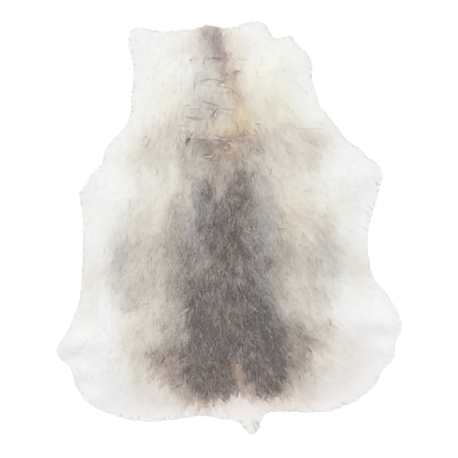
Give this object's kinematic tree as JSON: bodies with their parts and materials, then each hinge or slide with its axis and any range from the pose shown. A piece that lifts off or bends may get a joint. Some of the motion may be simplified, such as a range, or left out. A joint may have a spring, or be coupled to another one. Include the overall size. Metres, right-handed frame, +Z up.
{
  "type": "reindeer hide",
  "caption": "Tanned hide with its full coat of hair, laid flat as a rug, with its neck, leg flaps and short tail.",
  "frame": {"origin": "middle of the hide's bounding box, on the floor that it lies on", "axes": "+Z up through the coat, +Y from the tail to the neck, +X to the right as seen from above with the neck at the top"},
  "size_m": [1.0362, 1.2472, 0.0355],
  "materials": {
    "coat": "dense straight hair, white to grey-brown, soft sheen",
    "skin": "pale suede flesh side"
  },
  "bodies": {
    "root": {"hide": "coat"}
  },
  "joints": []
}
